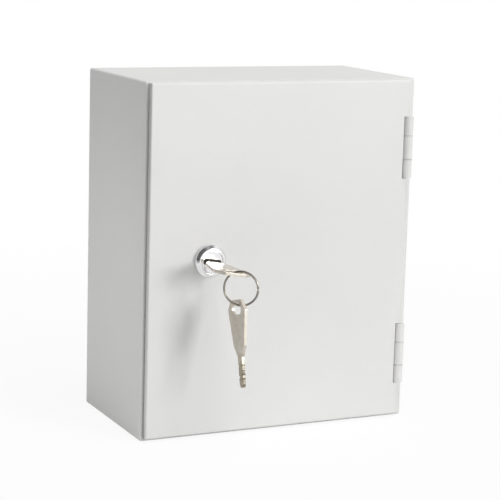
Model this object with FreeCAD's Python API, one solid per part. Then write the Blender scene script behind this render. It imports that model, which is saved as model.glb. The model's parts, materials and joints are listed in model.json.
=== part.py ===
"""Lockable sheet-steel wall box with a hinged pan door, a cam lock and two keys on a ring.

Millimetres. The origin is the centre of the base, +Z is up, +Y points to the wall and -Y out of the door.
The door is closed and unlocked: the key is in the lock and the cam hangs clear of its strike.
"""
import FreeCAD, Part
import math
import os

Vector = FreeCAD.Vector
X_AXIS = Vector(1, 0, 0)
Y_AXIS = Vector(0, 1, 0)
Z_AXIS = Vector(0, 0, 1)

# Body: a folded wrap of four walls with a frame turned in round the mouth
body_width = 200.0
body_height = 240.0
body_depth = 103.0
sheet = 1.0
bend_radius = 1.6
frame_width = 12.0
hinge_frame_width = 17.0

# Back panel and its wall holes
panel_fit = 0.05
wall_hole_diameter = 6.5
wall_hole_spacing_x = 140.0
wall_hole_spacing_z = 180.0

# Door: a shallow pan that stands in front of the frame
door_inset_latch = 2.2
door_inset_hinge = 5.3
door_inset_top = 0.6
door_inset_bottom = 2.2
door_depth = 3.0
door_gap = 1.5
door_bend_radius = 1.4
notch_clearance = 0.5

# Butt hinges: three knuckles on one pin
hinge_length = 42.0
hinge_middle_knuckle = 16.8
hinge_top_drop = 47.5
hinge_bottom_rise = 46.5
hinge_edge_offset = 0.5
knuckle_radius = 3.4
knuckle_frame_gap = 0.3
knuckle_end_gap = 0.25
hinge_pin_radius = 2.2
hinge_pin_clearance = 0.05
leaf_thickness = 1.2
leaf_reach = 8.0

# Door bumpers
bumper_radius = 3.0
bumper_inset = 7.0
bumper_end_distance = 18.0
bumper_air = 0.3

# Cam lock
lock_from_latch_side = 46.0
lock_height = 121.0
bezel_radius = 11.2
bezel_height = 4.6
bezel_chamfer = 2.2
barrel_radius = 9.0
barrel_length = 20.5
barrel_flat_width = 16.0
barrel_hole_clearance = 0.15
plug_head_radius = 7.4
plug_head_depth = 2.4
plug_radius = 5.6
plug_clearance = 0.05
plug_rest_roll = 10.0
drive_square = 6.4
drive_length = 2.2
drive_clearance = 0.1
washer_thickness = 0.8
washer_radius = 12.5
nut_across_flats = 24.0
nut_thickness = 5.0

# Wafers and their springs inside the plug
wafer_count = 4
wafer_thickness = 0.8
wafer_pitch = 2.3
wafer_first_depth = 3.6
wafer_width = 5.2
wafer_slack = 0.1
wafer_lug_height = 1.6
wafer_lug_width = 1.0
spring_wire_radius = 0.13
spring_radius = 0.5
spring_turns = 4
spring_length = 2.6

# Cam, its screw and its strike
cam_length = 38.0
cam_width = 15.0
cam_tip_width = 11.0
cam_thickness = 2.0
cam_air = 0.2
cam_screw_radius = 2.0
cam_screw_head_radius = 3.8
cam_screw_head_height = 2.4
cam_screw_slot = 1.0
cam_screw_bite = 4.0
cam_washer_radius = 5.0
cam_washer_thickness = 0.8
strike_thickness = 1.5
strike_reach = 18.0
strike_foot = 14.0
strike_height = 44.0
strike_air = 1.2

# Keys: flat steel, with a broad bow whose end corners are cut and a rounded slot near its end
key_thickness = 2.0
bow_width = 27.0
bow_end_width = 15.0
bow_cut_length = 6.5
bow_root_width = 17.0
bow_length = 30.0
shoulder_length = 7.0
blade_width = 6.0
blade_length = 20.0
blade_tip_length = 2.6
blade_tip_width = 3.0
blade_cut_radius = 1.1
blade_cut_count = 4
blade_cut_pitch = 3.6
blade_cut_first = 6.0
bow_corner = 1.6
window_width = 14.0
window_length = 7.0
window_bar = 2.6
window_corner = 3.2
key_standoff = 1.0
key_droop = 1.5
keyway_clearance = 0.3

# Key ring: round wire, its ends butted with a hair gap
ring_mean_radius = 11.2
ring_wire_radius = 0.75
ring_end_gap = 0.5
ring_turn = 54.0
ring_seat_air = 0.6
ring_hook_shift = 4.5
ring_hook_set_in = 1.0
spare_turn = 35.0
spare_hang_angle = 2.0
spare_seat_air = 0.6
spare_slide = 4.4
spare_lean = 14.0

# Places that follow from the sizes above
frame_front = -body_depth / 2
body_back = body_depth / 2
half_width = body_width / 2
door_left = -half_width + door_inset_latch
door_right = half_width - door_inset_hinge
door_bottom = door_inset_bottom
door_top = body_height - door_inset_top
door_back = frame_front - door_gap
door_front = door_back - door_depth
door_skin_back = door_front + sheet
hinge_x = door_right - hinge_edge_offset
hinge_y = frame_front - knuckle_frame_gap - knuckle_radius
hinge_heights = {"upper": body_height - hinge_top_drop, "lower": hinge_bottom_rise}
lock_x = -half_width + lock_from_latch_side
lock_face = door_front - bezel_height
barrel_end = door_front + barrel_length
keyway_width = blade_width + 2 * keyway_clearance
keyway_height = key_thickness + 2 * keyway_clearance
cam_front = barrel_end + cam_air
cam_back = cam_front + cam_thickness
drive_end = barrel_end + drive_length
strike_back = cam_front - strike_air
spring_pocket_half = spring_radius + spring_wire_radius + wafer_slack
key_shoulder = lock_face - key_standoff
key_handle_length = bow_length + shoulder_length
key_tail = key_shoulder - key_handle_length
key_bar_y = key_tail + window_bar / 2
key_pivot_y = lock_face + (blade_length - key_standoff) / 2


def block(x_range, y_range, z_range):
    """Box between two limits on each axis."""
    size = [limits[1] - limits[0] for limits in (x_range, y_range, z_range)]
    return Part.makeBox(size[0], size[1], size[2], Vector(x_range[0], y_range[0], z_range[0]))


def rod(radius, start, end):
    """Cylinder from one point to another."""
    along = end.sub(start)
    return Part.makeCylinder(radius, along.Length, start, along)


def outline_face(points):
    """Flat face inside straight edges."""
    return Part.Face(Part.makePolygon(points + [points[0]]))


def rounded_front_box(x_range, y_range, z_range, radius):
    """Box whose front rim and four running edges are bent with one radius; the back stays square."""
    solid = block(x_range, y_range, z_range)
    back = y_range[1]
    rim = []
    for edge in solid.Edges:
        on_back = all(abs(vertex.Point.y - back) < sheet / 100 for vertex in edge.Vertexes)
        if not on_back:
            rim.append(edge)
    return solid.makeFillet(radius, rim)


def folded_tray(x_range, y_range, z_range, radius):
    """Sheet tray open at the back, with bent edges of even thickness."""
    outer = rounded_front_box(x_range, y_range, z_range, radius)
    inner_x = (x_range[0] + sheet, x_range[1] - sheet)
    inner_y = (y_range[0] + sheet, y_range[1] + sheet)
    inner_z = (z_range[0] + sheet, z_range[1] - sheet)
    inner_radius = max(radius - sheet, sheet / 10)
    return outer.cut(rounded_front_box(inner_x, inner_y, inner_z, inner_radius))


def turned(shape, center, axis, degrees):
    """Copy of a shape turned about an axis."""
    copy = shape.copy()
    copy.rotate(center, axis, degrees)
    return copy


def export(name, shape):
    """Write one node."""
    shape.exportStep("parts/" + name + ".step")


def make_body_wrap():
    """Four walls and the frame round the mouth."""
    wrap = folded_tray(
        (-half_width, half_width), (frame_front, body_back), (0, body_height), bend_radius
    )
    mouth = block(
        (-half_width + frame_width, half_width - hinge_frame_width),
        (frame_front - sheet, frame_front + 2 * sheet),
        (frame_width, body_height - frame_width),
    )
    return wrap.cut(mouth)


def make_back_panel():
    """Flat panel let in between the walls at the back."""
    margin = sheet + panel_fit
    panel = block(
        (-half_width + margin, half_width - margin),
        (body_back - sheet, body_back),
        (margin, body_height - margin),
    )
    corners = [edge for edge in panel.Edges if abs(edge.tangentAt(edge.FirstParameter).y) > 0.5]
    panel = panel.makeFillet(bend_radius, corners)
    middle = body_height / 2
    for side in (-1, 1):
        for end in (-1, 1):
            place = Vector(
                side * wall_hole_spacing_x / 2,
                body_back - 2 * sheet,
                middle + end * wall_hole_spacing_z / 2,
            )
            panel = panel.cut(rod(wall_hole_diameter / 2, place, place + Y_AXIS * (3 * sheet)))
    return panel


def make_strike():
    """Angle on the latch-side wall; its leg stands in front of the turned cam."""
    wall = -half_width + sheet
    heights = (lock_height - strike_height / 2, lock_height + strike_height / 2)
    front = strike_back - strike_thickness
    leg = block((wall, wall + strike_reach), (front, strike_back), heights)
    foot = block((wall, wall + strike_thickness), (front, front + strike_foot), heights)
    return leg.fuse(foot).removeSplitter()


def make_bumper(height):
    """Rubber stud on the frame that stops the door skin."""
    base = Vector(-half_width + bumper_inset, frame_front, height)
    stud_height = frame_front - door_skin_back - bumper_air
    stud = rod(bumper_radius, base, base - Y_AXIS * stud_height)
    front_rim = [edge for edge in stud.Edges if edge.CenterOfMass.y < frame_front - stud_height * 0.9]
    return stud.makeFillet(bumper_radius / 4, front_rim)


def knuckle(bottom, top):
    """One hinge knuckle, without its bore."""
    return rod(knuckle_radius, Vector(hinge_x, hinge_y, bottom), Vector(hinge_x, hinge_y, top))


def knuckle_bore(middle):
    """Bore along the whole hinge."""
    half = hinge_length
    radius = hinge_pin_radius + hinge_pin_clearance
    return rod(radius, Vector(hinge_x, hinge_y, middle - half), Vector(hinge_x, hinge_y, middle + half))


def make_frame_leaf(middle):
    """Leaf on the frame, with the two end knuckles."""
    half = hinge_length / 2
    half_middle = hinge_middle_knuckle / 2
    leaf = block(
        (hinge_x - leaf_reach, hinge_x),
        (frame_front - leaf_thickness, frame_front),
        (middle - half, middle + half),
    )
    relief = block(
        (hinge_x - knuckle_radius - 2 * knuckle_end_gap, hinge_x + knuckle_radius),
        (frame_front - 2 * leaf_thickness, frame_front + leaf_thickness),
        (middle - half_middle, middle + half_middle),
    )
    leaf = leaf.cut(relief)
    leaf = leaf.fuse(knuckle(middle + half_middle, middle + half))
    leaf = leaf.fuse(knuckle(middle - half, middle - half_middle))
    return leaf.cut(knuckle_bore(middle)).removeSplitter()


def make_door_leaf(middle):
    """Leaf behind the door skin, with the middle knuckle."""
    half = hinge_length / 2
    half_middle = hinge_middle_knuckle / 2 - knuckle_end_gap
    thickness = (door_skin_back, door_skin_back + leaf_thickness)
    notch_side = hinge_x - knuckle_radius - notch_clearance
    plate = block((notch_side - leaf_reach, notch_side), thickness, (middle - half, middle + half))
    tongue = block((notch_side, hinge_x), thickness, (middle - half_middle, middle + half_middle))
    leaf = plate.fuse(tongue).fuse(knuckle(middle - half_middle, middle + half_middle))
    return leaf.cut(knuckle_bore(middle)).removeSplitter()


def make_hinge_pin(middle):
    """Plain pin, flush with the outer knuckles."""
    half = hinge_length / 2
    return rod(
        hinge_pin_radius, Vector(hinge_x, hinge_y, middle - half), Vector(hinge_x, hinge_y, middle + half)
    )


def make_door_panel():
    """Pan door, notched for the hinge knuckles and pierced for the lock."""
    pan = folded_tray(
        (door_left, door_right), (door_front, door_back), (door_bottom, door_top), door_bend_radius
    )
    half_notch = hinge_length / 2 + notch_clearance
    for middle in hinge_heights.values():
        notch = block(
            (hinge_x - knuckle_radius - notch_clearance, door_right + sheet),
            (door_front - sheet, door_back + sheet),
            (middle - half_notch, middle + half_notch),
        )
        pan = pan.cut(notch)
    start = Vector(lock_x, door_front - sheet, lock_height)
    return pan.cut(rod(barrel_radius + barrel_hole_clearance, start, start + Y_AXIS * (3 * sheet)))


def lock_point(depth_y):
    """Point on the lock's axis."""
    return Vector(lock_x, depth_y, lock_height)


def in_plug(shape):
    """Turn a piece made with a level keyway to the plug's resting roll."""
    return turned(shape, lock_point(0), Y_AXIS, plug_rest_roll)


def make_lock_housing():
    """Bezel and flatted barrel, bored for the plug."""
    bezel = rod(bezel_radius, lock_point(lock_face), lock_point(door_front))
    front_rim = [edge for edge in bezel.Edges if abs(edge.CenterOfMass.y - lock_face) < bezel_height / 10]
    front_rim = [edge for edge in front_rim if len(edge.Vertexes) == 1]
    bezel = bezel.makeChamfer(bezel_chamfer, front_rim)
    barrel = rod(barrel_radius, lock_point(door_front), lock_point(barrel_end))
    flats = block(
        (lock_x - barrel_flat_width / 2, lock_x + barrel_flat_width / 2),
        (door_front, barrel_end),
        (lock_height - bezel_radius, lock_height + bezel_radius),
    )
    housing = bezel.fuse(barrel.common(flats))
    head_end = lock_face + plug_head_depth + plug_clearance
    head_room = rod(plug_head_radius + plug_clearance, lock_point(lock_face - sheet), lock_point(head_end))
    bore = rod(plug_radius + plug_clearance, lock_point(lock_face - sheet), lock_point(barrel_end + sheet))
    return housing.cut(head_room).cut(bore).removeSplitter()


def make_lock_washer():
    """Flat washer behind the door skin."""
    start = lock_point(door_skin_back)
    end = lock_point(door_skin_back + washer_thickness)
    hole = rod(barrel_radius + barrel_hole_clearance, start, end)
    return rod(washer_radius, start, end).cut(hole)


def make_lock_nut():
    """Hexagon nut that clamps the lock to the door."""
    front = door_skin_back + washer_thickness
    corner_radius = nut_across_flats / 2 / math.cos(math.pi / 6)
    corners = []
    for index in range(6):
        angle = math.pi / 3 * index
        corners.append(
            Vector(
                lock_x + corner_radius * math.cos(angle), front, lock_height + corner_radius * math.sin(angle)
            )
        )
    nut = outline_face(corners).extrude(Y_AXIS * nut_thickness)
    hole = rod(barrel_radius + barrel_hole_clearance, lock_point(front), lock_point(front + nut_thickness))
    return nut.cut(hole)


def wafer_depths():
    """Front face of each wafer."""
    return [lock_face + wafer_first_depth + wafer_pitch * index for index in range(wafer_count)]


def wafer_outline(grow, depth, thickness):
    """Body and spring lug of one wafer, grown by the slot's slack."""
    along = (depth - grow, depth + thickness + grow)
    half = wafer_width / 2 + grow
    body = block(
        (lock_x - 2 * plug_radius, lock_x + 2 * plug_radius), along, (lock_height - half, lock_height + half)
    )
    lug_left = lock_x + spring_length / 2 - grow
    lug = block(
        (lug_left, lug_left + wafer_lug_width + 2 * grow),
        along,
        (lock_height, lock_height + wafer_width / 2 + wafer_lug_height + grow),
    )
    return body.fuse(lug)


def keyway_block(start, end):
    """Level slot for the blade."""
    return block(
        (lock_x - keyway_width / 2, lock_x + keyway_width / 2),
        (start, end),
        (lock_height - keyway_height / 2, lock_height + keyway_height / 2),
    )


def make_lock_plug():
    """Turning core: head, body with wafer slots, and the square that drives the cam."""
    head = rod(plug_head_radius, lock_point(lock_face), lock_point(lock_face + plug_head_depth))
    body = rod(plug_radius, lock_point(lock_face), lock_point(barrel_end))
    half = drive_square / 2
    square = block(
        (lock_x - half, lock_x + half), (barrel_end, drive_end), (lock_height - half, lock_height + half)
    )
    plug = head.fuse(body).fuse(square)
    blade_end = key_shoulder + blade_length + 2 * keyway_clearance
    plug = plug.cut(keyway_block(lock_face - sheet, blade_end))
    for depth in wafer_depths():
        plug = plug.cut(wafer_outline(wafer_slack, depth, wafer_thickness))
        middle = depth + wafer_thickness / 2
        pocket_top = lock_height + wafer_width / 2 + wafer_lug_height
        spring_end = lock_x - spring_length / 2 - wafer_slack
        pocket = block(
            (spring_end, lock_x + spring_length / 2),
            (middle - spring_pocket_half, middle + spring_pocket_half),
            (lock_height + wafer_width / 2, pocket_top),
        )
        plug = plug.cut(pocket)
    screw_hole = rod(cam_screw_radius, lock_point(drive_end - cam_screw_bite), lock_point(drive_end + sheet))
    return in_plug(plug.cut(screw_hole).removeSplitter())


def make_wafers():
    """Wafers held flush with the plug by the key."""
    wafers = []
    for depth in wafer_depths():
        blank = wafer_outline(0, depth, wafer_thickness)
        skin = rod(plug_radius - plug_clearance, lock_point(depth), lock_point(depth + wafer_thickness))
        wafers.append(blank.common(skin).cut(keyway_block(depth - sheet, depth + sheet)).removeSplitter())
    return in_plug(Part.makeCompound(wafers))


def make_wafer_springs():
    """One small coil beside each wafer, between the plug and the wafer's lug."""
    springs = []
    coil_height = spring_length - 2 * spring_wire_radius - 2 * wafer_slack
    for depth in wafer_depths():
        helix = Part.makeHelix(coil_height / spring_turns, coil_height, spring_radius)
        section = Part.makeCircle(spring_wire_radius, Vector(spring_radius, 0, 0), Y_AXIS)
        coil = Part.Wire(helix).makePipeShell([Part.Wire(section)], True, True)
        coil.rotate(Vector(0, 0, 0), Y_AXIS, 90)
        place_z = lock_height + wafer_width / 2 + wafer_lug_height / 2
        coil.translate(Vector(lock_x - coil_height / 2, depth + wafer_thickness / 2, place_z))
        springs.append(coil)
    return in_plug(Part.makeCompound(springs))


def make_cam():
    """Flat cam hanging from the plug's square."""
    root = cam_width / 2
    tip = cam_tip_width / 2
    face = outline_face(
        [
            Vector(lock_x - root, cam_front, lock_height),
            Vector(lock_x + root, cam_front, lock_height),
            Vector(lock_x + tip, cam_front, lock_height - cam_length),
            Vector(lock_x - tip, cam_front, lock_height - cam_length),
        ]
    )
    arm = face.extrude(Y_AXIS * cam_thickness)
    boss = rod(root, lock_point(cam_front), lock_point(cam_back))
    half = drive_square / 2 + drive_clearance
    hole = block(
        (lock_x - half, lock_x + half),
        (cam_front - sheet, cam_back + sheet),
        (lock_height - half, lock_height + half),
    )
    return in_plug(arm.fuse(boss).cut(hole).removeSplitter())


def make_cam_washer():
    """Washer under the screw head."""
    start = lock_point(cam_back)
    end = lock_point(cam_back + cam_washer_thickness)
    return rod(cam_washer_radius, start, end).cut(rod(cam_screw_radius + drive_clearance, start, end))


def make_cam_screw():
    """Slotted screw that holds the cam on the plug."""
    under_head = cam_back + cam_washer_thickness
    top = under_head + cam_screw_head_height
    head = rod(cam_screw_head_radius, lock_point(under_head), lock_point(top))
    rims = [edge for edge in head.Edges if len(edge.Vertexes) == 1]
    rim = [edge for edge in rims if abs(edge.CenterOfMass.y - top) < cam_screw_head_height / 10]
    head = head.makeFillet(cam_screw_head_height / 3, rim)
    slot = block(
        (lock_x - 2 * cam_screw_head_radius, lock_x + 2 * cam_screw_head_radius),
        (top - cam_screw_head_height / 2, top + sheet),
        (lock_height - cam_screw_slot / 2, lock_height + cam_screw_slot / 2),
    )
    shank = rod(cam_screw_radius, lock_point(drive_end - cam_screw_bite), lock_point(under_head))
    return head.cut(slot).fuse(shank).removeSplitter()


def make_flat_key():
    """Key lying in the XY plane: shoulder at the origin, blade along +Y, bow along -Y."""
    bow = bow_width / 2
    bow_end = bow_end_width / 2
    bow_root = bow_root_width / 2
    blade = blade_width / 2
    tip = blade_tip_width / 2
    points = [
        Vector(-bow_end, -key_handle_length, 0),
        Vector(bow_end, -key_handle_length, 0),
        Vector(bow, bow_cut_length - key_handle_length, 0),
        Vector(bow_root, -shoulder_length, 0),
        Vector(blade, 0, 0),
        Vector(blade, blade_length - blade_tip_length, 0),
        Vector(tip, blade_length, 0),
        Vector(-tip, blade_length, 0),
        Vector(-blade, blade_length - blade_tip_length, 0),
        Vector(-blade, 0, 0),
        Vector(-bow_root, -shoulder_length, 0),
        Vector(-bow, bow_cut_length - key_handle_length, 0),
    ]
    base = Vector(0, 0, -key_thickness / 2)
    plate = outline_face([point + base for point in points]).extrude(Z_AXIS * key_thickness)
    corners = []
    for edge in plate.Edges:
        upright = abs(edge.tangentAt(edge.FirstParameter).z) > 0.5
        if upright and edge.CenterOfMass.y < -shoulder_length / 2:
            corners.append(edge)
    plate = plate.makeFillet(bow_corner, corners)
    window_end = -key_handle_length + window_bar
    window = block(
        (-window_width / 2, window_width / 2),
        (window_end, window_end + window_length),
        (-key_thickness, key_thickness),
    )
    upright_edges = [edge for edge in window.Edges if abs(edge.tangentAt(edge.FirstParameter).z) > 0.5]
    plate = plate.cut(window.makeFillet(window_corner, upright_edges))
    for index in range(blade_cut_count):
        side = 1 if index % 2 else -1
        along = blade_cut_first + blade_cut_pitch * index
        start = Vector(side * (blade + blade_cut_radius / 3), along, -key_thickness)
        plate = plate.cut(rod(blade_cut_radius, start, start + Z_AXIS * (2 * key_thickness)))
    return plate


def make_door_key():
    """Key in the lock, rolled with the plug and drooping by the play in the keyway."""
    key = make_flat_key()
    key.translate(lock_point(key_shoulder))
    key.rotate(lock_point(key_pivot_y), X_AXIS, key_droop)
    return in_plug(key)


def ring_center():
    """Ring's centre: its top wire lies on the end bar of the key in the lock."""
    bar_drop = (key_pivot_y - key_bar_y) * math.sin(math.radians(key_droop))
    roll = math.radians(plug_rest_roll)
    slope_drop = ring_hook_shift * math.tan(roll)
    bar_top = lock_height - bar_drop - slope_drop + key_thickness / 2 / math.cos(roll)
    wire_height = bar_top + ring_seat_air + ring_wire_radius
    return Vector(lock_x + ring_hook_shift, key_bar_y + ring_hook_set_in, wire_height - ring_mean_radius)


def spare_hang_point():
    """Middle of the ring's wire where the spare key hangs, to one side of its lowest point."""
    heading = math.radians(ring_turn - 90)
    aside = math.radians(spare_hang_angle)
    along = Vector(math.cos(heading), math.sin(heading), 0)
    from_center = along * -math.sin(aside) - Z_AXIS * math.cos(aside)
    return ring_center() + from_center * ring_mean_radius


def make_key_ring():
    """Open wire ring in a plumb plane, turned about the vertical towards the hinge side."""
    split = math.degrees(ring_end_gap / ring_mean_radius)
    ring = Part.makeTorus(ring_mean_radius, ring_wire_radius, Vector(0, 0, 0), Z_AXIS, -180, 180, 360 - split)
    ring.rotate(Vector(0, 0, 0), X_AXIS, 90)
    ring.rotate(Vector(0, 0, 0), Z_AXIS, ring_turn - 90)
    ring.translate(ring_center())
    return ring


def make_spare_key():
    """Second key, hung from the ring near its lowest point."""
    key = make_flat_key()
    window_top = -key_handle_length + window_bar
    key.translate(Vector(-spare_slide, -window_top, 0))
    key.rotate(Vector(0, 0, 0), X_AXIS, -90)
    key.translate(Vector(0, 0, ring_wire_radius + spare_seat_air))
    key.rotate(Vector(0, 0, 0), Y_AXIS, -spare_lean)
    key.rotate(Vector(0, 0, 0), Z_AXIS, ring_turn + spare_turn - 180)
    key.translate(spare_hang_point())
    return key


def main():
    """Build every node and write it."""
    os.makedirs("parts", exist_ok=True)
    export("body_wrap", make_body_wrap())
    export("back_panel", make_back_panel())
    export("strike_bracket", make_strike())
    export("lower_door_bumper", make_bumper(bumper_end_distance))
    export("upper_door_bumper", make_bumper(body_height - bumper_end_distance))
    for name, middle in hinge_heights.items():
        export(name + "_hinge_frame_leaf", make_frame_leaf(middle))
        export(name + "_hinge_door_leaf", make_door_leaf(middle))
        export(name + "_hinge_pin", make_hinge_pin(middle))
    export("door_panel", make_door_panel())
    export("lock_housing", make_lock_housing())
    export("lock_washer", make_lock_washer())
    export("lock_nut", make_lock_nut())
    export("lock_plug", make_lock_plug())
    export("wafer_tumblers", make_wafers())
    export("wafer_springs", make_wafer_springs())
    export("lock_cam", make_cam())
    export("cam_washer", make_cam_washer())
    export("cam_screw", make_cam_screw())
    export("door_key", make_door_key())
    export("key_ring", make_key_ring())
    export("spare_key", make_spare_key())


main()
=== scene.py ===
"""Looks of a lockable steel wall box: powder coat, turned lock, pressed keys, wire ring and a white studio.

Metres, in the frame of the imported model: the base is at the origin, +Z is up and the door faces -Y.
"""

import json
import math

import bmesh
import bpy
from bpy.props import FloatProperty, FloatVectorProperty, IntProperty, PointerProperty
from mathutils import Matrix, Vector


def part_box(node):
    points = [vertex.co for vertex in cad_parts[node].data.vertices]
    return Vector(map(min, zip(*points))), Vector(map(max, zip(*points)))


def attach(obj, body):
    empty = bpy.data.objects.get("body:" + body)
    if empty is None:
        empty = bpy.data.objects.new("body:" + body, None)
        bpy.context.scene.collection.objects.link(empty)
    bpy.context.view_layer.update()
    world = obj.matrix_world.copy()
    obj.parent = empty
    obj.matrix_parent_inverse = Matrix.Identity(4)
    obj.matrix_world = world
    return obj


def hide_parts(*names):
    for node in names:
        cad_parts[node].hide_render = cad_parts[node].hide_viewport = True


bl_info = {
    "name": "Steel wall box looks",
    "version": (1, 0, 0),
    "blender": (4, 5, 0),
    "location": "3D View > Sidebar > Wall Box",
    "description": "Dresses the packed wall box in paint, chrome, nickel and a studio",
    "category": "Object",
}

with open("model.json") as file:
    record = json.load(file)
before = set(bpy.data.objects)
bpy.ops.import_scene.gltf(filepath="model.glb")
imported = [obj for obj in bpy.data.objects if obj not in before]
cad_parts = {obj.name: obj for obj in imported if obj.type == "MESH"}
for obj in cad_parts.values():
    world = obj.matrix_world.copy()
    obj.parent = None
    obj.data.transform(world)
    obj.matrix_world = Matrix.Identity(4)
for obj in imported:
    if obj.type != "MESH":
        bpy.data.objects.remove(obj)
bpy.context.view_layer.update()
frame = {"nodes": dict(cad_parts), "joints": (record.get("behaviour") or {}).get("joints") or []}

MILLIMETRE = 0.001
HAIR = MILLIMETRE / 10
WELD_DISTANCE = 1e-6
FLAT_ANGLE = math.radians(0.5)
SHARP_ANGLE = math.radians(28)
SMOOTH_ANGLE = math.radians(32)
WHITE = (1, 1, 1, 1)

# Detail of the noise in the finishes
PLAIN = 1.0
SOFT = 2.0
FINE = 3.0
NOISE_ROUGHNESS = 0.55
NOISE_MIDDLE = 0.5

# Marks per metre in the finishes, all round or along each axis
PAINT_CLOUDS = 9.0
CHROME_SMEARS = 260.0
KEY_BRUSHING = (5200.0, 160.0, 900.0)
KEY_RUBBING = 330.0
KEY_BANDS = (0.0, 330.0, 0.0)
WIRE_SCUFFS = 900.0
WIRE_PATCHES = 150.0
RUBBER_SKIN = 2600.0
RUBBER_DUST = 240.0

# Turned rings on the chrome, counted by squared distance from the lock's axis
CHROME_RINGS = 60.0

# Smears for each crystal of plated metal
SMEARS_PER_CRYSTAL = 0.3

# Parts of the noise between which a finish changes from one tone to the other
CLOUD_TONES = (0.35, 0.65)
STAIN_TONES = (0.38, 0.68)
BAND_TONES = (0.46, 0.54)

# Where marks on a key's blade start and are full, counted from its shoulder or its middle line
FLUTE_START = (-1.5 * MILLIMETRE, 0.5 * MILLIMETRE)
WEAR_START = (-1 * MILLIMETRE, 9 * MILLIMETRE)
WEAR_RAGGED = 8 * MILLIMETRE
BAND_START = (4 * MILLIMETRE, 6 * MILLIMETRE)
BAND_EDGE = (1.9 * MILLIMETRE, 2.4 * MILLIMETRE)

# Faces of the lock, the door and the body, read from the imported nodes
BEZEL_LOW, BEZEL_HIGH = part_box("lock_housing")
DOOR_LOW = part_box("door_panel")[0]
BODY_LOW, BODY_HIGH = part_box("body_wrap")
LOCK_X = (BEZEL_LOW.x + BEZEL_HIGH.x) / 2
LOCK_Z = (BEZEL_LOW.z + BEZEL_HIGH.z) / 2
LOCK_FACE = BEZEL_LOW.y
BARREL_END = BEZEL_HIGH.y
DOOR_FACE = DOOR_LOW.y

# Where each key's shoulder stands and how the key is turned, blade along its own +Y
KEY_SINK = 0.27 * MILLIMETRE
DOOR_KEY_PLACE = Vector((LOCK_X, LOCK_FACE - MILLIMETRE, LOCK_Z - KEY_SINK))
DOOR_KEY_TURN = (math.radians(1.5), math.radians(10), 0)
SPARE_KEY_PLACE = Vector((-0.04988, -0.09980, 0.06584))
SPARE_KEY_TURN = (math.radians(-90), math.radians(-14), math.radians(-91))


def length(name, description, default):
    """Property for a size in metres."""
    return FloatProperty(
        name=name, description=description, default=default, min=0, unit="LENGTH", precision=5
    )


def share(name, description, default):
    """Property for a part of one."""
    return FloatProperty(name=name, description=description, default=default, min=0, max=1, subtype="FACTOR")


def colour(name, description, default):
    """Property for a colour."""
    return FloatVectorProperty(
        name=name, description=description, default=default, min=0, max=1, size=3, subtype="COLOR"
    )


def angle(name, description, degrees):
    """Property for an angle."""
    return FloatProperty(name=name, description=description, default=math.radians(degrees), subtype="ANGLE")


def power(name, description, default):
    """Property for the strength of a lamp."""
    return FloatProperty(name=name, description=description, default=default, min=0, unit="POWER")


def optic(name, description, default):
    """Property for a size in the camera, in millimetres."""
    return FloatProperty(name=name, description=description, default=default, min=1, unit="CAMERA")


def spot(name, description, default):
    """Property for a place in metres."""
    return FloatVectorProperty(name=name, description=description, default=default, size=3, unit="LENGTH")


def steps(name, description, default):
    """Property for a count of faces."""
    return IntProperty(name=name, description=description, default=default, min=8)


class PaintSettings(bpy.types.PropertyGroup):
    """Powder coat of the folded steel."""

    coat: colour("Paint", "Light grey of the powder coat", (0.735, 0.735, 0.722))
    coat_shade: colour("Paint shade", "Thin places in the powder coat", (0.700, 0.701, 0.692))
    # Painted shade, not dirt: the next six settings darken the door's left (latch) edge, where the strip
    # between the door and the body lies in shade
    painted_shade: colour("Soiled paint", "Latch edge of the door where it is handled", (0.530, 0.525, 0.510))
    painted_shade_core: length("Soil core", "Width of the fully soiled strip along that edge", 0.0004)
    painted_shade_width: length("Soil width", "Width at which the soil ends", 0.001)
    painted_shade_height: length("Soil height", "Height from which that edge is fully soiled", 0.140)
    painted_shade_foot: share("Soil at the foot", "Share of the soil at the foot of the door", 0.3)
    painted_shade_patches: share("Soil patches", "How much the soil follows the clouds of the paint", 0.15)
    roughness: share("Roughness", "Dullness of the cured coat", 0.40)
    roughness_spread: share("Roughness spread", "How much the dullness changes over the dimples", 0.10)
    peel_size: length("Peel size", "Width of one dimple in the coat", 0.0011)
    peel_depth: length("Peel depth", "Depth of the dimples in the coat", 0.00004)
    fleck_size: length("Fleck size", "Width of one fleck in the coat", 0.000785714)
    fleck_height: share("Fleck height", "Height of a fleck beside a dimple", 0.25)
    fleck_share: share("Fleck share", "Share of the flecks in the tone of the paint", 0.3)
    seam_width: length("Seam width", "Width of the welded corner seams of the frame", 0.0007)
    seam_depth: length("Seam depth", "Depth of those seams", 0.00008)
    edge_round: length("Edge rounding", "Paint radius on cut edges of the hinges", 0.0003)


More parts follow.
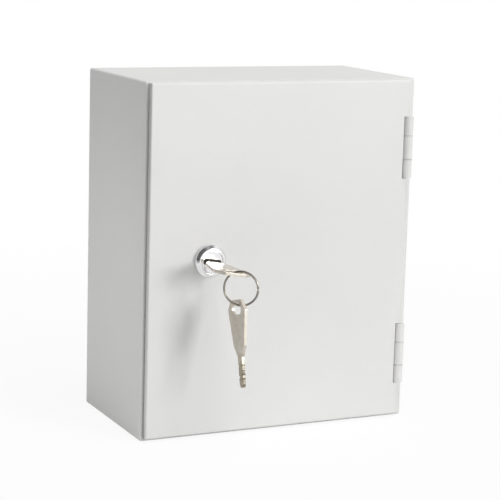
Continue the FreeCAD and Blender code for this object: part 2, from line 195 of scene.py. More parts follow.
class MetalSettings(bpy.types.PropertyGroup):
    """Bare and plated metal, and the rubber studs."""

    chrome: colour("Chrome", "Polished plate of the lock", (0.86, 0.86, 0.87))
    chrome_shade: colour("Chrome shade", "Smeared places on the lock", (0.7998, 0.7998, 0.8091))
    chrome_roughness: share("Chrome roughness", "Dullness of the polished plate", 0.05)
    chrome_relief: length("Chrome relief", "Depth of the smears and turned rings", 0.000006)
    nickel: colour("Nickel", "Satin plate of the keys", (0.71, 0.665, 0.595))
    nickel_shade: colour("Nickel shade", "Rubbed places on the keys", (0.58, 0.525, 0.45))
    nickel_roughness: share("Nickel roughness", "Dullness of the satin plate", 0.22)
    blade_wear: colour("Worn blade", "Worn plate of the blades", (0.40, 0.36, 0.28))
    # Darker bands along the blades' edges; the next setting is how much of them reaches the faces
    dark_edge_bands: colour("Grease", "Bands that the wafers leave on the blades' edges", (0.11, 0.105, 0.085))
    dark_edge_bands_face: share("Grease on the face", "Share of those bands that reaches the blades' faces", 0.15)
    flute_offset: length("Flute offset", "Distance of the blade's flute from its middle line", 0.0006)
    flute_floor: length("Flute floor", "Half the width of the flute's floor", 0.00055)
    flute_mouth: length("Flute mouth", "Half the width of the flute's mouth", 0.00095)
    flute_depth: length("Flute depth", "Depth of the flute", 0.0003)
    steel: colour("Wire", "Plated spring wire of the ring", (0.34, 0.315, 0.28))
    steel_shade: colour("Wire shade", "Darker patches on the wire", (0.272, 0.252, 0.224))
    wire_roughness: share("Wire roughness", "Dullness of the drawn wire", 0.14)
    wire_relief: length("Wire relief", "Depth of the scuffs on the wire", 0.00002)
    # Painted shade: the black of the plate round the keyway, and its duller tone below, stand in for the
    # shaded keyway gap above the key
    keyway_shade: colour("Shutter", "Blackened steel round the keyway", (0.045, 0.043, 0.040))
    keyway_shade_crystals: colour("Shutter shade", "Darker crystals of the blackened steel", (0.038, 0.036, 0.033))
    zinc: colour("Zinc", "Bright zinc plate", (0.60, 0.61, 0.62))
    zinc_shade: colour("Zinc shade", "Duller crystals of the zinc plate", (0.44, 0.45, 0.46))
    plate_relief: length("Plate relief", "Depth of the smears on plated metal", 0.00002)
    brass: colour("Brass", "Stamped wafers", (0.78, 0.60, 0.32))
    brass_shade: colour("Brass shade", "Tarnished places on the wafers", (0.64, 0.47, 0.23))
    rubber: colour("Rubber", "Door studs", (0.030, 0.030, 0.031))
    rubber_dust: colour("Rubber dust", "Dusty places on the studs", (0.057, 0.057, 0.0589))
    rubber_roughness: share("Rubber roughness", "Dullness of the studs", 0.68)
    rubber_relief: length("Rubber relief", "Depth of the moulded texture", 0.00005)
    edge_round: length("Edge rounding", "Radius on stamped and turned edges", 0.00022)
    key_round: length("Key rounding", "Radius on the edges of the pressed keys", 0.0003)
    wire_radius: length("Wire", "Radius of the ring's wire", 0.00075)
    wire_gap: length("Wire gap", "Gap between the ring's two ends", 0.0005)
    wire_steps: steps("Wire steps", "Faces round the ring's wire", 20)
    ring_steps: steps("Ring steps", "Faces along the ring", 144)


class LockSettings(bpy.types.PropertyGroup):
    """Turned housing of the cam lock."""

    bezel_chamfer: length("Bezel chamfer", "Slope round the front of the bezel", 0.0022)
    bezel_round: length("Bezel rounding", "Radius on the bezel's turned edges", 0.00045)
    head_radius: length("Head room", "Radius of the recess for the core's head", 0.00745)
    head_depth: length("Head depth", "Depth of the recess for the core's head", 0.00245)
    bore_radius: length("Bore", "Radius of the bore for the core", 0.00565)
    barrel_radius: length("Barrel", "Radius over the thread", 0.009)
    barrel_flat: length("Flats", "Half the width across the barrel's flats", 0.008)
    thread_pitch: length("Thread pitch", "Distance from crest to crest", 0.001)
    thread_depth: length("Thread depth", "Depth of the thread", 0.0004)
    keyway_shade_width: length("Shutter width", "Width of the plate round the keyway", 0.0126)
    keyway_shade_height: length("Shutter height", "Height of the plate round the keyway", 0.0044)
    keyway_shade_proud: length("Shutter", "How far that plate stands proud of the core", 0.0002)
    keyway_width: length("Keyway width", "Width of the slot for the blade", 0.0066)
    keyway_height: length("Keyway height", "Height of the slot for the blade", 0.0026)
    turn_steps: steps("Turned steps", "Faces round the lock", 128)


class StageSettings(bpy.types.PropertyGroup):
    """Camera, lamps, floor and the arch that the lock mirrors."""

    camera_place: spot("Camera", "Where the camera stands", (-0.5183, -1.0870, 0.3400))
    camera_turn: angle("Turn", "Heading, from +Y towards +X", 25.586)
    camera_dip: angle("Dip", "Downward tilt", 10.564)
    camera_roll: angle("Roll", "Tilt about the line of sight", 1.639)
    lens: optic("Lens", "Focal length of the camera", 125.145)
    sensor: optic("Sensor", "Width of the camera's sensor", 36)
    sight: length("Sight", "How far the camera sees", 100)
    key_place: spot("Key lamp place", "Where the large lamp on the right hangs", (1.85, -3.42, 1.04))
    key_size: length("Key lamp size", "Side of the large lamp on the right", 1.3)
    key_power: power("Key lamp", "Power of the large lamp on the right", 74)
    top_place: spot("Top lamp place", "Where the lamp above hangs", (0.15, -0.60, 3.0))
    top_size: length("Top lamp size", "Side of the lamp above", 1.2)
    top_power: power("Top lamp", "Power of the lamp above", 45)
    low_place: spot("Low lamp place", "Where the lamp low on the left stands", (-1.2, -0.1, 0.05))
    low_size: length("Low lamp size", "Side of the lamp low on the left", 0.3)
    low_power: power("Low lamp", "Power of the lamp low on the left", 0.085)
    low_spread: angle("Low spread", "Angle of the low lamp's beam", 24)
    ambient: share("Ambient", "Even light from all round", 0.26)
    floor: colour("Floor", "Plain pale floor", (0.90, 0.90, 0.90))
    floor_reach: length("Floor reach", "Half the width of the floor", 24)
    floor_steps: steps("Floor steps", "Faces along each side of the floor", 8)
    shadow_near: length("Shadow near", "Distance at which the floor starts to turn white", 0.2)
    shadow_far: length("Shadow far", "Distance at which the floor is white", 0.7)
    near_white: share("Near white", "Whiteness of the floor under the box in the picture", 0.90)
    near_mirrored: share("Near mirrored", "Whiteness of the floor under the box in bright metal", 0.2)
    arch_shade: share("Arch", "Grey of the arch that the bezel mirrors", 0.15)
    arch_radius: length("Arch radius", "Distance of the arch from the lock", 0.45)
    arch_start: angle("Arch start", "Where the arch starts, counted from the right over the top", 200)
    arch_span: angle("Arch span", "How far it turns over the lock", 150)
    arch_front: length("Arch front", "How far the arch reaches before the middle of the box", 0.60)
    arch_back: length("Arch back", "How far before the middle of the box the arch starts", 0.05)
    arch_soft: share("Arch ends", "Share of the arch that thins out towards its ends", 0.45)
    arch_roughness: share("Arch roughness", "Dullness of the arch's cloth", 0.9)
    arch_steps: steps("Arch steps", "Faces round the arch", 48)


class Signal:
    """One number in a shader, for plain arithmetic."""

    def __init__(self, maker, socket):
        self.maker = maker
        self.socket = socket

    def combine(self, operation, first, second=0.0):
        """Join two terms with a Math node."""
        made = self.maker.node("ShaderNodeMath", {"operation": operation}, {0: first, 1: second})
        return Signal(self.maker, made.outputs[0])

    def __add__(self, other):
        return self.combine("ADD", self, other)

    def __radd__(self, other):
        return self.combine("ADD", other, self)

    def __sub__(self, other):
        return self.combine("SUBTRACT", self, other)

    def __rsub__(self, other):
        return self.combine("SUBTRACT", other, self)

    def __mul__(self, other):
        return self.combine("MULTIPLY", self, other)

    def __rmul__(self, other):
        return self.combine("MULTIPLY", other, self)

    def __abs__(self):
        return self.combine("ABSOLUTE", self)

    def __lt__(self, other):
        return self.combine("LESS_THAN", self, other)

    def most(self, other):
        """The larger of two."""
        return self.combine("MAXIMUM", self, other)


class ShaderMaker:
    """Fills one node tree."""

    def __init__(self, tree):
        self.tree = tree
        self.tree.nodes.clear()

    def node(self, kind, settings, sockets):
        """Add a node: its settings come first, then the values or links of its sockets."""
        made = self.tree.nodes.new(kind)
        for name, value in settings.items():
            setattr(made, name, value)
        for name, value in sockets.items():
            if isinstance(value, Signal):
                self.tree.links.new(value.socket, made.inputs[name])
            elif isinstance(value, bpy.types.NodeSocket):
                self.tree.links.new(value, made.inputs[name])
            else:
                made.inputs[name].default_value = value
        return made

    def place(self):
        """Point on the surface, in metres."""
        return self.node("ShaderNodeTexCoord", {}, {}).outputs["Object"]

    def turned_place(self, where, turn):
        """Point on the surface in a frame that stands and turns with a piece."""
        sockets = {"Vector": self.place(), "Location": where, "Rotation": turn}
        return self.node("ShaderNodeMapping", {"vector_type": "TEXTURE"}, sockets).outputs["Vector"]

    def stretched(self, point, scale):
        """Point scaled along each axis."""
        return self.node("ShaderNodeMapping", {}, {"Vector": point, "Scale": scale}).outputs["Vector"]

    def along(self, point):
        """The three numbers of a point."""
        parts = self.node("ShaderNodeSeparateXYZ", {}, {"Vector": point})
        return [Signal(self, parts.outputs[axis]) for axis in range(3)]

    def grain(self, point, scale, detail):
        """Soft noise between 0 and 1."""
        sockets = {"Vector": point, "Scale": scale, "Detail": detail, "Roughness": NOISE_ROUGHNESS}
        return Signal(self, self.node("ShaderNodeTexNoise", {}, sockets).outputs["Fac"])

    def crystals(self, point, scale):
        """Patches of one value each, between 0 and 1."""
        made = self.node("ShaderNodeTexVoronoi", {}, {"Vector": point, "Scale": scale})
        parts = self.node("ShaderNodeSeparateColor", {}, {"Color": made.outputs["Color"]})
        return Signal(self, parts.outputs[0])

    def fade(self, value, low, high, start=0.0, end=1.0):
        """Value mapped from one range to another and held at its ends."""
        sockets = {0: value, 1: low, 2: high, 3: start, 4: end}
        return Signal(self, self.node("ShaderNodeMapRange", {"clamp": True}, sockets).outputs[0])

    def tint(self, amount, first, second):
        """Colour between two."""
        return self.blend(amount, (*first, 1), second)

    def blend(self, amount, under, second):
        """Colour between the colour of a socket, or four numbers, and a plain one."""
        sockets = {0: amount, 6: under, 7: (*second, 1)}
        return self.node("ShaderNodeMix", {"data_type": "RGBA"}, sockets).outputs[2]

    def relief(self, height, depth):
        """Normal of a surface whose height, from 0 to 1, stands this deep."""
        sockets = {"Height": height, "Distance": depth, "Strength": 1.0}
        return self.node("ShaderNodeBump", {}, sockets).outputs["Normal"]

    def surface(self, sockets):
        """Finish the material with one Principled shader."""
        shader = self.node("ShaderNodeBsdfPrincipled", {}, sockets)
        self.node("ShaderNodeOutputMaterial", {}, {"Surface": shader.outputs[0]})


def new_finish(name):
    """Empty material and its maker."""
    material = bpy.data.materials.new(name)
    material.use_nodes = True
    return material, ShaderMaker(material.node_tree)


def powder_coat(settings, name, seams=False, shade_painted=False):
    """Powder coat with fine orange peel, and where asked the frame's seams or painted shade along the door's
    left edge.
    """
    material, maker = new_finish(name)
    point = maker.place()
    cloud = maker.grain(point, PAINT_CLOUDS, FINE)
    fleck = maker.grain(point, 1 / settings.fleck_size, PLAIN)
    peel = maker.grain(point, 1 / settings.peel_size, SOFT)
    height = peel + fleck * settings.fleck_height
    if seams:
        height = height - frame_seams(maker, point, settings) * (settings.seam_depth / settings.peel_depth)
    tone = cloud * (1 - settings.fleck_share) + fleck * settings.fleck_share
    mix = maker.fade(tone, *CLOUD_TONES)
    paint = maker.tint(mix, settings.coat_shade, settings.coat)
    # Painted shade along the door's left edge, a little patchy with the paint's clouds
    if shade_painted:
        patches = 1 - settings.painted_shade_patches + mix * settings.painted_shade_patches
        paint = maker.blend(painted_edge_shade(maker, point, settings) * patches, paint, settings.painted_shade)
    maker.surface(
        {
            "Base Color": paint,
            "Roughness": settings.roughness + (peel - NOISE_MIDDLE) * settings.roughness_spread,
            "Normal": maker.relief(height, settings.peel_depth),
        }
    )
    return material


def painted_edge_shade(maker, point, settings):
    """Painted shade on the door's left (latch) edge, standing in for the shaded strip between the door and
    the body: full high up and less at the foot.
    """
    across, _, up = maker.along(point)
    on_edge = maker.fade(across - DOOR_LOW.x, settings.painted_shade_core, settings.painted_shade_width, 1.0, 0.0)
    return on_edge * maker.fade(up, 0.0, settings.painted_shade_height, settings.painted_shade_foot, 1.0)


def frame_seams(maker, point, settings):
    """One along the mitred corners of the frame round the mouth, and nothing elsewhere."""
    across, back, up = maker.along(point)
    middle = (BODY_LOW.z + BODY_HIGH.z) / 2
    from_side = BODY_HIGH.x - abs(across)
    from_end = middle - abs(up - middle)
    on_line = maker.fade(abs(from_side - from_end), settings.seam_width / 3, settings.seam_width, 1.0, 0.0)
    return on_line * (back < BODY_LOW.y + MILLIMETRE / 2)


def plated(metal, name, base, shade, roughness, crystal):
    """Plated metal with small duller crystals of a given width."""
    material, maker = new_finish(name)
    point = maker.place()
    patch = maker.crystals(point, 1 / crystal)
    smear = maker.grain(point, SMEARS_PER_CRYSTAL / crystal, FINE)
    dull = patch * 0.6 + smear * 0.4
    maker.surface(
        {
            "Base Color": maker.tint(dull, base, shade),
            "Metallic": 1.0,
            "Roughness": roughness + dull * 0.16,
            "Normal": maker.relief(smear + patch * 0.1, metal.plate_relief),
        }
    )
    return material


def polished_chrome(metal, name):
    """Bright chrome with a faint turned grain and hand smears."""
    material, maker = new_finish(name)
    point = maker.place()
    across, _, up = maker.along(point)
    side = across - LOCK_X
    rise = up - LOCK_Z
    reach = (side * side + rise * rise) * (1 / MILLIMETRE)
    rings = maker.grain(maker.node("ShaderNodeCombineXYZ", {}, {0: reach}).outputs[0], CHROME_RINGS, SOFT)
    smear = maker.grain(point, CHROME_SMEARS, FINE)
    maker.surface(
        {
            "Base Color": maker.tint(smear, metal.chrome, metal.chrome_shade),
            "Metallic": 1.0,
            "Roughness": metal.chrome_roughness + smear * 0.08 + rings * 0.03,
            "Normal": maker.relief(smear * 0.7 + rings * 0.3, metal.chrome_relief),
        }
    )
    return material


def satin_nickel(metal, name, where, turn):
    """Brushed nickel plate, worn on the blade, with darker bands along its edges and a milled flute down its
    sides.
    """
    material, maker = new_finish(name)
    point = maker.turned_place(where, turn)
    across, down, _ = maker.along(point)
    brush = maker.grain(maker.stretched(point, KEY_BRUSHING), 1.0, FINE)
    rubbed = maker.grain(point, KEY_RUBBING, FINE)
    flute = maker.fade(abs(across - metal.flute_offset), metal.flute_floor, metal.flute_mouth, 1.0, 0.0)
    flute = flute * maker.fade(down, *FLUTE_START)
    stain = maker.fade(rubbed * 0.75 + brush * 0.25, *STAIN_TONES)
    worn = maker.fade(down + rubbed * WEAR_RAGGED, *WEAR_START)
    bands = maker.grain(maker.stretched(point, KEY_BANDS), 1.0, PLAIN)
    on_edge = maker.fade(abs(across), *BAND_EDGE, metal.dark_edge_bands_face, 1.0)
    # Darker bands along the blade's edges, reaching a little onto its faces
    dark_edge_bands = maker.fade(bands, *BAND_TONES) * maker.fade(down, *BAND_START) * on_edge
    plate = maker.blend(worn, maker.tint(stain, metal.nickel, metal.nickel_shade), metal.blade_wear)
    maker.surface(
        {
            "Base Color": maker.blend(dark_edge_bands, plate, metal.dark_edge_bands),
            "Metallic": 1.0,
            "Roughness": metal.nickel_roughness + brush * 0.14 + stain * 0.10 + worn * 0.20,
            "Normal": maker.relief(brush * 0.05 - flute, metal.flute_depth),
        }
    )
    return material


def spring_wire(metal, name):
    """Drawn and plated wire with faint scuffs."""
    material, maker = new_finish(name)
    point = maker.place()
    scuff = maker.grain(point, WIRE_SCUFFS, FINE)
    patch = maker.grain(point, WIRE_PATCHES, SOFT)
    maker.surface(
        {
            "Base Color": maker.tint(patch, metal.steel, metal.steel_shade),
            "Metallic": 1.0,
            "Roughness": metal.wire_roughness + scuff * 0.14,
            "Normal": maker.relief(scuff, metal.wire_relief),
        }
    )
    return material


def moulded_rubber(metal):
    """Dull black rubber with a fine moulded texture."""
    material, maker = new_finish("moulded_rubber")
    point = maker.place()
    skin = maker.grain(point, RUBBER_SKIN, SOFT)
    dust = maker.grain(point, RUBBER_DUST, FINE)
    maker.surface(
        {
            "Base Color": maker.tint(dust, metal.rubber, metal.rubber_dust),
            "Roughness": metal.rubber_roughness + skin * 0.2,
            "Normal": maker.relief(skin, metal.rubber_relief),
        }
    )
    return material


def dress(node_name, material):
    """Give a CAD node its finish."""
    mesh = frame["nodes"][node_name].data
    mesh.materials.clear()
    mesh.materials.append(material)


def new_piece(name, shape, material, body, nodes):
    """Object from a bmesh that rides on a body and stands for CAD nodes, if any are named."""
    mesh = bpy.data.meshes.new(name)
    for face in shape.faces:
        face.smooth = True
    shape.to_mesh(mesh)
    shape.free()
    mesh.set_sharp_from_angle(angle=SMOOTH_ANGLE)
    mesh.materials.append(material)
    piece = bpy.data.objects.new(name, mesh)
    bpy.context.scene.collection.objects.link(piece)
    flat_faces = piece.modifiers.new("flat_faces", "WEIGHTED_NORMAL")
    flat_faces.keep_sharp = True
    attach(piece, body)
    if nodes:
        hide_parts(*nodes)


def merged_copy(node_name):
    """Bmesh of a CAD node with its loose triangles joined and its flat areas whole."""
    shape = bmesh.new()
    shape.from_mesh(frame["nodes"][node_name].data)
    bmesh.ops.remove_doubles(shape, verts=shape.verts, dist=WELD_DISTANCE)
    bmesh.ops.dissolve_limit(shape, angle_limit=FLAT_ANGLE, verts=shape.verts, edges=shape.edges)
    return shape


def round_edges(shape, edges, radius, segments=2):
    """Round some edges of a shape."""
    bmesh.ops.bevel(
        shape,
        geom=edges,
        offset=radius,
        offset_type="OFFSET",
        affect="EDGES",
        segments=segments,
        profile=0.5,
        clamp_overlap=True,
        material=-1,
    )


def sharp_edges(shape, front_of=None):
    """Edges where two faces meet at an angle, if asked only those in front of a depth."""
    found = []
    for edge in shape.edges:
        if len(edge.link_faces) != 2 or edge.calc_face_angle() < SHARP_ANGLE:
            continue
        if front_of is None or all(vertex.co.y < front_of for vertex in edge.verts):
            found.append(edge)
    return found


def softened(node_name, radius, material, body, front_of=None):
    """Make a piece with a CAD node's own shape and rounded edges, which stands for that node."""
    shape = merged_copy(node_name)
    round_edges(shape, sharp_edges(shape, front_of), radius)
    new_piece(node_name + "_finished", shape, material, body, [node_name])


class WALLBOX_OT_sheet(bpy.types.Operator):
    """Paint the folded body, its back panel and the door"""

    bl_idname = "wallbox.sheet"
    bl_label = "Folded sheet"

    def execute(self, context):
        paint = context.scene.wallbox_paint
        dress("body_wrap", powder_coat(paint, "powder_coat_frame", seams=True))
        dress("back_panel", powder_coat(paint, "powder_coat_back"))
        # The door's coat carries painted shade along its left edge
        dress("door_panel", powder_coat(paint, "powder_coat_door", shade_painted=True))
        return {"FINISHED"}


class WALLBOX_OT_hinges(bpy.types.Operator):
    """Make the painted butt hinges with rounded knuckle ends"""

    bl_idname = "wallbox.hinges"
    bl_label = "Hinges"

    def execute(self, context):
        paint = context.scene.wallbox_paint
        coat = powder_coat(paint, "powder_coat_hinges")
        for place in ("upper", "lower"):
            softened(place + "_hinge_frame_leaf", paint.edge_round, coat, "cabinet")
            softened(place + "_hinge_door_leaf", paint.edge_round, coat, "door")
            softened(place + "_hinge_pin", paint.edge_round, coat, "cabinet")
        return {"FINISHED"}


class WALLBOX_OT_lock(bpy.types.Operator):
    """Turn the lock housing, make the plate round the keyway and finish the rest of the lock"""

    bl_idname = "wallbox.lock"
    bl_label = "Cam lock"

    def execute(self, context):
        metal = context.scene.wallbox_metal
        lock = context.scene.wallbox_lock
        chrome = polished_chrome(metal, "polished_chrome")
        zinc = plated(
            metal, "bright_zinc", metal.zinc, metal.zinc_shade, roughness=0.24, crystal=0.9 * MILLIMETRE
        )
        housing = turned_housing(lock)
        new_piece("lock_housing_turned", housing, chrome, "door", ["lock_housing"])
        core_front = LOCK_FACE + HAIR
        softened("lock_plug", metal.edge_round, chrome, "plug", core_front)
        # Painted shade: black finish for the plate round the keyway, for the dark keyway gap above the key
        keyway_black = plated(
            metal,
            "keyway_shade_black",
            metal.keyway_shade,
            metal.keyway_shade_crystals,
            roughness=0.30,
            crystal=0.4 * MILLIMETRE,
        )
        new_piece("painted_keyway_shade", keyway_shade_plate(lock), keyway_black, "plug", [])
        softened("lock_nut", metal.edge_round, zinc, "door")
        softened("lock_washer", metal.edge_round, zinc, "door")
        brass = plated(
            metal, "stamped_brass", metal.brass, metal.brass_shade, roughness=0.28, crystal=0.6 * MILLIMETRE
        )
        dress("wafer_tumblers", brass)
        dress("wafer_springs", spring_wire(metal, "drawn_wire_springs"))
        return {"FINISHED"}


def turned_housing(lock):
    """Bezel, threaded barrel with two flats, and the stepped bore, spun from one outline."""
    bezel_radius = (BEZEL_HIGH.x - BEZEL_LOW.x) / 2
    root = lock.barrel_radius - lock.thread_depth
    outline = [
        (bezel_radius, DOOR_FACE),
        (bezel_radius, LOCK_FACE + lock.bezel_chamfer),
        (bezel_radius - lock.bezel_chamfer, LOCK_FACE),
        (lock.head_radius, LOCK_FACE),
        (lock.head_radius, LOCK_FACE + lock.head_depth),
        (lock.bore_radius, LOCK_FACE + lock.head_depth),
        (lock.bore_radius, BARREL_END),
        (root, BARREL_END),
    ]
    turns = int((BARREL_END - DOOR_FACE) / lock.thread_pitch) - 1
    for index in range(turns):
        crest = BARREL_END - lock.thread_pitch * (index + 0.5)
        outline.append((lock.barrel_radius, crest))
        outline.append((root, crest - lock.thread_pitch / 2))
    outline.append((root, DOOR_FACE))
    shape = bmesh.new()
    ring = [shape.verts.new((LOCK_X + radius, depth, LOCK_Z)) for radius, depth in outline]
    edges = [shape.edges.new((ring[index - 1], ring[index])) for index in range(len(ring))]
    bmesh.ops.spin(
        shape,
        geom=ring + edges,
        cent=(LOCK_X, 0, LOCK_Z),
        axis=(0, 1, 0),
        angle=2 * math.pi,
        steps=lock.turn_steps,
        use_merge=True,
    )
    bmesh.ops.remove_doubles(shape, verts=shape.verts, dist=WELD_DISTANCE)
    bmesh.ops.recalc_face_normals(shape, faces=shape.faces)
    for vertex in shape.verts:
        if vertex.co.y > DOOR_FACE + HAIR:
            side = max(-lock.barrel_flat, min(lock.barrel_flat, vertex.co.x - LOCK_X))
            vertex.co.x = LOCK_X + side
    round_edges(shape, sharp_edges(shape, DOOR_FACE - HAIR), lock.bezel_round, segments=3)
    return shape


def rectangle(shape, width, height):
    """Four edges of a rectangle that faces the front."""
    corners = ((-1, -1), (1, -1), (1, 1), (-1, 1))
    loop = [shape.verts.new((across * width / 2, 0, up * height / 2)) for across, up in corners]
    return [shape.edges.new((loop[index - 1], loop[index])) for index in range(len(loop))]


def keyway_shade_plate(lock):
    """Thin black plate round the keyway in the face of the core, with a slot that the key runs through; its
    black is painted shade for the keyway's gap above the key.
    """
    roll = Matrix.Translation((LOCK_X, LOCK_FACE, LOCK_Z)) @ Matrix.Rotation(DOOR_KEY_TURN[1], 4, "Y")
    shape = bmesh.new()
    outline = rectangle(shape, lock.keyway_shade_width, lock.keyway_shade_height)
    slot = rectangle(shape, lock.keyway_width, lock.keyway_height)
    bmesh.ops.bridge_loops(shape, edges=outline + slot)
    raised = bmesh.ops.extrude_face_region(shape, geom=shape.faces[:])
    moved = [item for item in raised["geom"] if isinstance(item, bmesh.types.BMVert)]
    bmesh.ops.translate(shape, vec=(0, -lock.keyway_shade_proud, 0), verts=moved)
    bmesh.ops.recalc_face_normals(shape, faces=shape.faces)
    beyond_slot = lock.keyway_width / 2 + MILLIMETRE
    corners = []
    for edge in shape.edges:
        one, other = edge.verts
        upright = abs(one.co.y - other.co.y) > lock.keyway_shade_proud / 2
        if upright and min(abs(one.co.x), abs(other.co.x)) > beyond_slot:
            corners.append(edge)
    round_edges(shape, corners, lock.keyway_shade_height / 3, segments=4)
    round_edges(shape, sharp_edges(shape), lock.keyway_shade_proud / 4)
    bmesh.ops.transform(shape, matrix=roll, verts=shape.verts)
    return shape


class WALLBOX_OT_cam(bpy.types.Operator):
    """Finish the cam, its screw and washer, and the strike it turns behind"""

    bl_idname = "wallbox.cam"
    bl_label = "Cam and strike"

    def execute(self, context):
        metal = context.scene.wallbox_metal
        zinc = plated(
            metal, "cam_zinc", metal.zinc, metal.zinc_shade, roughness=0.30, crystal=1.3 * MILLIMETRE
        )
        for name in ("lock_cam", "cam_washer", "cam_screw"):
            softened(name, metal.edge_round, zinc, "plug")
        coat = powder_coat(context.scene.wallbox_paint, "powder_coat_strike")
        softened("strike_bracket", metal.edge_round, coat, "cabinet")
        return {"FINISHED"}


class WALLBOX_OT_keys(bpy.types.Operator):
    """Finish the key in the lock and the spare key"""

    bl_idname = "wallbox.keys"
    bl_label = "Keys"

    def execute(self, context):
        metal = context.scene.wallbox_metal
        in_lock = satin_nickel(metal, "satin_nickel_door_key", DOOR_KEY_PLACE, DOOR_KEY_TURN)
        hanging = satin_nickel(metal, "satin_nickel_spare_key", SPARE_KEY_PLACE, SPARE_KEY_TURN)
        softened("door_key", metal.key_round, in_lock, "key")
        softened("spare_key", metal.key_round, hanging, "spare")
        return {"FINISHED"}


class WALLBOX_OT_ring(bpy.types.Operator):
    """Bend the wire ring that holds the keys together"""

    bl_idname = "wallbox.ring"
    bl_label = "Key ring"

    def execute(self, context):
        metal = context.scene.wallbox_metal
        finish = spring_wire(metal, "drawn_wire_ring")
        new_piece("key_ring_wire", bent_ring(metal), finish, "ring", ["key_ring"])
        return {"FINISHED"}


def bent_ring(metal):
    """Open ring of round wire in the plane of the CAD ring, with its two ends nearly touching."""
    low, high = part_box("key_ring")
    centre = (low + high) / 2
    radius = (high.z - low.z) / 2 - metal.wire_radius
    swing = next(joint for joint in frame["joints"] if joint["name"] == "ring_swing")
    along = Vector(swing["axis"]).normalized()
    across = along.cross(Vector((0, 0, 1)))
    start = Matrix((along, across, along.cross(across))).transposed().to_4x4()
    start.translation = centre + along * radius
    shape = bmesh.new()
    bmesh.ops.create_circle(
        shape, cap_ends=False, segments=metal.wire_steps, radius=metal.wire_radius, matrix=start
    )
    bmesh.ops.spin(
        shape,
        geom=shape.verts[:] + shape.edges[:],
        cent=centre,
        axis=across,
        angle=2 * math.pi - metal.wire_gap / radius,
        steps=metal.ring_steps,
        use_merge=False,
    )
    bmesh.ops.holes_fill(shape, edges=[edge for edge in shape.edges if edge.is_boundary], sides=0)
    bmesh.ops.recalc_face_normals(shape, faces=shape.faces)
    round_edges(shape, sharp_edges(shape), metal.edge_round)
    return shape


class WALLBOX_OT_studs(bpy.types.Operator):
    """Finish the rubber studs that stop the door"""

    bl_idname = "wallbox.studs"
    bl_label = "Door studs"

    def execute(self, context):
        metal = context.scene.wallbox_metal
        rubber = moulded_rubber(metal)
        for place in ("upper", "lower"):
            softened(place + "_door_bumper", metal.edge_round, rubber, "cabinet")
        return {"FINISHED"}


class WALLBOX_OT_stage(bpy.types.Operator):
    """Set up the floor, the lamps, the dark arch and the camera"""

    bl_idname = "wallbox.stage"
    bl_label = "Studio"

    def execute(self, context):
        stage = context.scene.wallbox_stage
        context.scene.view_settings.view_transform = "Standard"
        light_room(context.scene, stage)
        lay_floor(stage)
        middle = (0, 0, BODY_HIGH.z / 2)
        foot = (BODY_LOW.x, 0, 0)
        hang_lamp("key_lamp", stage.key_place, middle, stage.key_power, stage.key_size)
        hang_lamp("top_lamp", stage.top_place, middle, stage.top_power, stage.top_size)
        low_lamp = hang_lamp("low_lamp", stage.low_place, foot, stage.low_power, stage.low_size)
        low_lamp.spread = stage.low_spread
        stand_arch(stage)
        set_camera(context.scene, stage)
        return {"FINISHED"}


def seen_rays(maker):
    """One for rays from the camera, and one for rays that metal or glass sends on."""
    path = maker.node("ShaderNodeLightPath", {}, {})
    straight = Signal(maker, path.outputs["Is Camera Ray"])
    mirrored = Signal(maker, path.outputs["Is Glossy Ray"])
    through = Signal(maker, path.outputs["Is Transmission Ray"])
    return straight, mirrored.most(through)


def light_room(scene, stage):
    """World that looks white and lights the object evenly."""
    world = bpy.data.worlds.new("studio")
    scene.world = world
    world.use_nodes = True
    maker = ShaderMaker(world.node_tree)
    straight, sent_on = seen_rays(maker)
    even = maker.node("ShaderNodeBackground", {}, {"Color": WHITE, "Strength": stage.ambient})
    white = maker.node("ShaderNodeBackground", {}, {"Color": WHITE, "Strength": 1.0})
    sockets = {0: straight.most(sent_on), 1: even.outputs[0], 2: white.outputs[0]}
    mixed = maker.node("ShaderNodeMixShader", {}, sockets)
    maker.node("ShaderNodeOutputWorld", {}, {"Surface": mixed.outputs[0]})


def lay_floor(stage):
    """Pale floor that looks white away from the object and keeps its shadow close by."""
    shape = bmesh.new()
    bmesh.ops.create_grid(
        shape, x_segments=stage.floor_steps, y_segments=stage.floor_steps, size=stage.floor_reach
    )
    mesh = bpy.data.meshes.new("studio_floor")
    shape.to_mesh(mesh)
    shape.free()
    floor = bpy.data.objects.new("studio_floor", mesh)
    bpy.context.scene.collection.objects.link(floor)
    material, maker = new_finish("studio_floor")
    mesh.materials.append(material)
    point = maker.place()
    away = maker.node("ShaderNodeVectorMath", {"operation": "LENGTH"}, {0: point}).outputs["Value"]
    straight, sent_on = seen_rays(maker)
    seen = straight * maker.fade(away, stage.shadow_near, stage.shadow_far, stage.near_white, 1.0)
    mirrored = sent_on * maker.fade(away, stage.shadow_near, stage.shadow_far, stage.near_mirrored, 1.0)
    matt = maker.node("ShaderNodeBsdfDiffuse", {}, {"Color": (*stage.floor, 1)})
    glow = maker.node("ShaderNodeEmission", {}, {"Color": WHITE, "Strength": 1.0})
    sockets = {0: seen.most(mirrored), 1: matt.outputs[0], 2: glow.outputs[0]}
    mixed = maker.node("ShaderNodeMixShader", {}, sockets)
    maker.node("ShaderNodeOutputMaterial", {}, {"Surface": mixed.outputs[0]})


def aim(thing, place, target):
    """Stand a lamp at a place, facing a target."""
    towards = Vector(target) - Vector(place)
    thing.matrix_world = Matrix.Translation(place) @ towards.to_track_quat("-Z", "Y").to_matrix().to_4x4()


def hang_lamp(name, place, target, watts, size):
    """Square soft lamp aimed at a target, given back for its finer settings."""
    lamp = bpy.data.lights.new(name, "AREA")
    lamp.energy = watts
    lamp.size = size
    thing = bpy.data.objects.new(name, lamp)
    bpy.context.scene.collection.objects.link(thing)
    aim(thing, place, target)
    return lamp


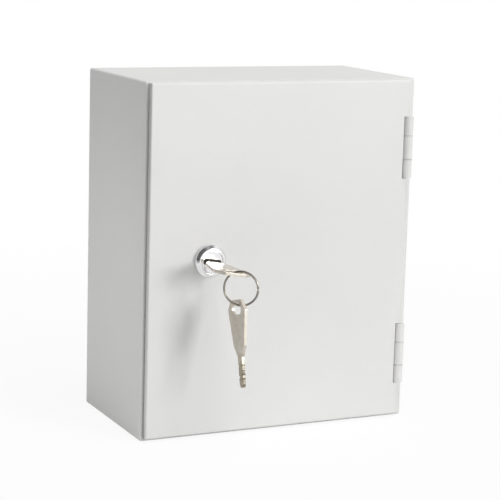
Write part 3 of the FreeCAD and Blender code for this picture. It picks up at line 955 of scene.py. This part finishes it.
def stand_arch(stage):
    """Dark arch over the lock that shows only in reflections, from its left to the right of its top."""
    shape = bmesh.new()
    foot = Vector((math.cos(stage.arch_start), 0, math.sin(stage.arch_start))) * stage.arch_radius
    foot += Vector((LOCK_X, 0, LOCK_Z))
    ends = [shape.verts.new(foot + Vector((0, depth, 0))) for depth in (-stage.arch_front, -stage.arch_back)]
    edge = shape.edges.new(ends)
    bmesh.ops.spin(
        shape,
        geom=[*ends, edge],
        cent=(LOCK_X, 0, LOCK_Z),
        axis=(0, 1, 0),
        angle=stage.arch_span,
        steps=stage.arch_steps,
        use_merge=False,
    )
    mesh = bpy.data.meshes.new("dark_arch")
    shape.to_mesh(mesh)
    shape.free()
    mesh.materials.append(arch_cloth(stage))
    screen = bpy.data.objects.new("dark_arch", mesh)
    bpy.context.scene.collection.objects.link(screen)
    screen.visible_camera = False
    screen.visible_diffuse = False
    screen.visible_shadow = False


def arch_cloth(stage):
    """Grey cloth that thins out towards both ends of the arch, so that its mirror image ends softly."""
    material, maker = new_finish("arch_cloth")
    middle = stage.arch_start - stage.arch_span / 2
    across, _, up = maker.along(maker.place())
    along = (across - LOCK_X) * math.cos(middle) + (up - LOCK_Z) * math.sin(middle)
    end = stage.arch_radius * math.cos(stage.arch_span / 2)
    thick = maker.fade(along, end, end + (stage.arch_radius - end) * stage.arch_soft)
    grey = (stage.arch_shade, stage.arch_shade, stage.arch_shade, 1)
    maker.surface({"Base Color": grey, "Roughness": stage.arch_roughness, "Alpha": thick})
    return material


def set_camera(scene, stage):
    """Camera at the photograph's angle."""
    data = bpy.data.cameras.new("camera")
    data.lens = stage.lens
    data.sensor_width = stage.sensor
    data.clip_end = stage.sight
    camera = bpy.data.objects.new("camera", data)
    scene.collection.objects.link(camera)
    turn = Matrix.Rotation(-stage.camera_turn, 4, "Z")
    level = turn @ Matrix.Rotation(math.pi / 2 - stage.camera_dip, 4, "X")
    tilted = level @ Matrix.Rotation(stage.camera_roll, 4, "Z")
    camera.matrix_world = Matrix.Translation(stage.camera_place) @ tilted
    scene.camera = camera


class WALLBOX_PT_panel(bpy.types.Panel):
    """Lists the steps that dress the box"""

    bl_label = "Wall box"
    bl_idname = "WALLBOX_PT_panel"
    bl_space_type = "VIEW_3D"
    bl_region_type = "UI"
    bl_category = "Wall Box"

    def draw(self, context):
        for step in STEPS:
            self.layout.operator(step.bl_idname)


GROUPS = {
    "wallbox_paint": PaintSettings,
    "wallbox_metal": MetalSettings,
    "wallbox_lock": LockSettings,
    "wallbox_stage": StageSettings,
}
STEPS = (
    WALLBOX_OT_stage,
    WALLBOX_OT_sheet,
    WALLBOX_OT_hinges,
    WALLBOX_OT_lock,
    WALLBOX_OT_cam,
    WALLBOX_OT_keys,
    WALLBOX_OT_ring,
    WALLBOX_OT_studs,
)
CLASSES = (*GROUPS.values(), *STEPS, WALLBOX_PT_panel)


def register():
    """Add the classes and their settings."""
    for group in CLASSES:
        bpy.utils.register_class(group)
    for name, group in GROUPS.items():
        setattr(bpy.types.Scene, name, PointerProperty(type=group))


def unregister():
    """Take the settings and classes away again."""
    for name in GROUPS:
        delattr(bpy.types.Scene, name)
    for group in reversed(CLASSES):
        bpy.utils.unregister_class(group)


def main():
    """Dress the box step by step."""
    register()
    bpy.ops.wallbox.stage()
    bpy.ops.wallbox.sheet()
    bpy.ops.wallbox.hinges()
    bpy.ops.wallbox.lock()
    bpy.ops.wallbox.cam()
    bpy.ops.wallbox.keys()
    bpy.ops.wallbox.ring()
    bpy.ops.wallbox.studs()


if __name__ == "__main__":
    main()
